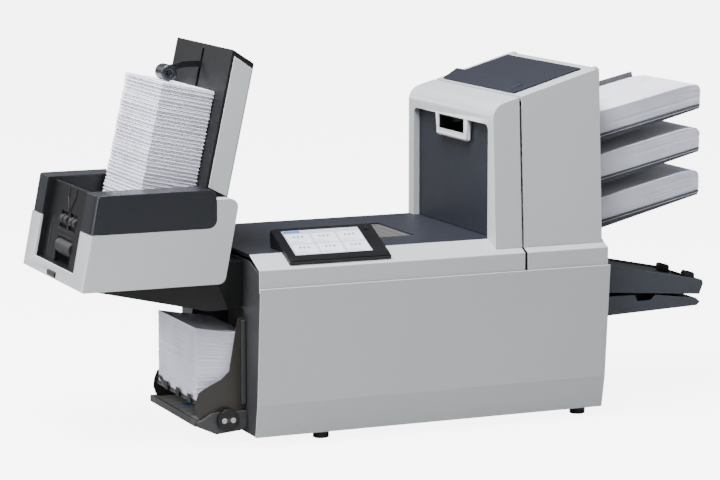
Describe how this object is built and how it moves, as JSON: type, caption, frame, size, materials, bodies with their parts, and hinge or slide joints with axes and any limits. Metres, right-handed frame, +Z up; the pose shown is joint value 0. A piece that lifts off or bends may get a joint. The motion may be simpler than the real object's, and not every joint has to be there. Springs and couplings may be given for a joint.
{
  "type": "table-top folder-inserter",
  "caption": "Table-top mail machine that folds sheets from stacked trays, adds inserts from a leaning feeder and drops filled envelopes in a catch tray.",
  "frame": {"origin": "middle of the overall footprint box, on the table", "axes": "+X along the machine from the insert feeder to the sheet trays, +Y to the rear, +Z up"},
  "size_m": [1.2972, 0.42, 0.72],
  "materials": {
    "light_shell": "pale grey moulded plastic, fine texture",
    "dark_panel": "dark slate-grey moulded plastic",
    "black_plastic": "black moulded plastic",
    "touch_glass": "black-backed display glass",
    "steel": "zinc-plated sheet steel",
    "plate_metal": "brown-grey semi-gloss plate",
    "paper": "stacked white paper",
    "rubber": "matt black rubber",
    "guide_grey": "mid-grey plastic",
    "motor_metal": "cast motor case",
    "board_green": "circuit board"
  },
  "bodies": {
    "base": {"arm_caps": "dark_panel", "bottom_pan": "steel", "catch_floor": "black_plastic", "catch_plates": "plate_metal", "column_panels": "light_shell", "control_board": "board_green", "drive_belt": "rubber", "drive_motor": "motor_metal", "feed_cheeks": "steel", "feed_wall": "dark_panel", "feeder_bracket": "dark_panel", "feeder_gate": "black_plastic", "feeder_housing": "light_shell", "feet": "rubber", "front_cover": "light_shell", "front_frame": "steel", "hopper_body": "dark_panel", "insert_column": "dark_panel", "insert_stack": "paper", "left_end_panel": "dark_panel", "paper_stack_1": "paper", "paper_stack_2": "paper", "paper_stack_3": "paper", "power_inlet": "black_plastic", "power_supply": "steel", "rear_cover": "light_shell", "rear_frame": "steel", "right_end_panel": "dark_panel", "right_fascia": "light_shell", "sheet_tray_1": "dark_panel", "sheet_tray_2": "dark_panel", "sheet_tray_3": "dark_panel", "tower_shell": "light_shell"},
    "deck": {"deck_plate": "dark_panel", "deck_fascia": "light_shell", "tablet_case": "dark_panel", "tablet_glass": "touch_glass"},
    "button": {"power_button": "black_plastic"},
    "door": {"door_shell": "light_shell", "door_panel": "dark_panel", "door_handle": "black_plastic"},
    "lid": {"top_lid": "dark_panel"},
    "fold_lower": {"fold_roller_lower": "rubber"},
    "fold_upper": {"fold_roller_upper": "rubber"},
    "hopper_front": {"hopper_guide_front": "black_plastic"},
    "hopper_rear": {"hopper_guide_rear": "black_plastic"},
    "divert": {"divert_tray": "dark_panel"},
    "arm": {"follower_arm": "black_plastic"},
    "arm_roller": {"follower_roller": "rubber"},
    "drum": {"pickup_roller": "rubber"},
    "latch": {"release_latch": "black_plastic"},
    "knob": {"catch_knob": "black_plastic"},
    "lift": {"lift_platform": "black_plastic", "envelope_pile": "paper"},
    "guide_1": {"tray_guide_1": "guide_grey"},
    "feed_1": {"feed_roller_1": "rubber"},
    "guide_2": {"tray_guide_2": "guide_grey"},
    "feed_2": {"feed_roller_2": "rubber"},
    "guide_3": {"tray_guide_3": "guide_grey"},
    "feed_3": {"feed_roller_3": "rubber"}
  },
  "joints": [
    {"name": "deck_cover_hinge", "type": "hinge", "parent": "base", "child": "deck", "pos_m": [-0.12937, 0.208, 0.347], "axis": [-1, 0, 0], "range_deg": [0, 30]},
    {"name": "tower_door_hinge", "type": "hinge", "parent": "deck", "child": "door", "pos_m": [0.14863, 0, 0.3515], "axis": [0, -1, 0], "range_deg": [0, 70]},
    {"name": "top_lid_hinge", "type": "hinge", "parent": "base", "child": "lid", "pos_m": [0.35263, 0, 0.65867], "axis": [0, 1, 0], "range_deg": [0, 60]},
    {"name": "power_button_press", "type": "slide", "parent": "deck", "child": "button", "axis": [0, 0.4179, -0.9085], "range_m": [0, 0.0005], "stiffness_N_per_m": 400, "springref_m": -0.0005},
    {"name": "fold_lower_spin", "type": "hinge", "parent": "base", "child": "fold_lower", "pos_m": [0.23063, 0, 0.19], "axis": [0, 1, 0], "continuous": true},
    {"name": "fold_upper_spin", "type": "hinge", "parent": "base", "child": "fold_upper", "pos_m": [0.23063, 0, 0.2185], "axis": [0, 1, 0], "continuous": true},
    {"name": "feed_roller_1_spin", "type": "hinge", "parent": "base", "child": "feed_1", "pos_m": [0.34463, 0, 0.40307], "axis": [0, 1, 0], "continuous": true},
    {"name": "tray_guide_1_slide", "type": "slide", "parent": "base", "child": "guide_1", "axis": [0, 1, 0], "range_m": [0, 0.012]},
    {"name": "feed_roller_2_spin", "type": "hinge", "parent": "base", "child": "feed_2", "pos_m": [0.34463, 0, 0.48707], "axis": [0, 1, 0], "continuous": true},
    {"name": "tray_guide_2_slide", "type": "slide", "parent": "base", "child": "guide_2", "axis": [0, 1, 0], "range_m": [0, 0.012]},
    {"name": "feed_roller_3_spin", "type": "hinge", "parent": "base", "child": "feed_3", "pos_m": [0.34463, 0, 0.57107], "axis": [0, 1, 0], "continuous": true},
    {"name": "tray_guide_3_slide", "type": "slide", "parent": "base", "child": "guide_3", "axis": [0, 1, 0], "range_m": [0, 0.012]},
    {"name": "hopper_guide_front_slide", "type": "slide", "parent": "base", "child": "hopper_front", "axis": [0, 1, 0], "range_m": [0, 0.03]},
    {"name": "hopper_guide_rear_slide", "type": "slide", "parent": "base", "child": "hopper_rear", "axis": [0, 1, 0], "range_m": [-0.05, 0.05]},
    {"name": "divert_tray_hinge", "type": "hinge", "parent": "base", "child": "divert", "pos_m": [0.38263, 0, 0.171], "axis": [0, 1, 0], "range_deg": [0, 25]},
    {"name": "follower_slide", "type": "slide", "parent": "base", "child": "arm", "axis": [0.2147, 0, 0.9767], "range_m": [0, 0.017]},
    {"name": "follower_roller_spin", "type": "hinge", "parent": "arm", "child": "arm_roller", "pos_m": [-0.43069, 0.001, 0.67169], "axis": [0, 1, 0], "continuous": true},
    {"name": "pickup_roller_spin", "type": "hinge", "parent": "base", "child": "drum", "pos_m": [-0.61088, 0.026, 0.354], "axis": [0, 1, 0], "continuous": true},
    {"name": "release_latch_press", "type": "slide", "parent": "base", "child": "latch", "axis": [1, 0, 0], "range_m": [0, 0.003], "stiffness_N_per_m": 300},
    {"name": "catch_knob_spin", "type": "hinge", "parent": "base", "child": "knob", "pos_m": [-0.36837, -0.145, 0.046], "axis": [0, 1, 0], "continuous": true},
    {"name": "lift_platform_slide", "type": "slide", "parent": "base", "child": "lift", "axis": [0, 0, 1], "range_m": [-0.025, 0], "stiffness_N_per_m": 900, "springref_m": 0.05}
  ],
  "couplings": [
    {"joint": "fold_upper_spin", "follows": "fold_lower_spin", "ratio": -1}
  ]
}
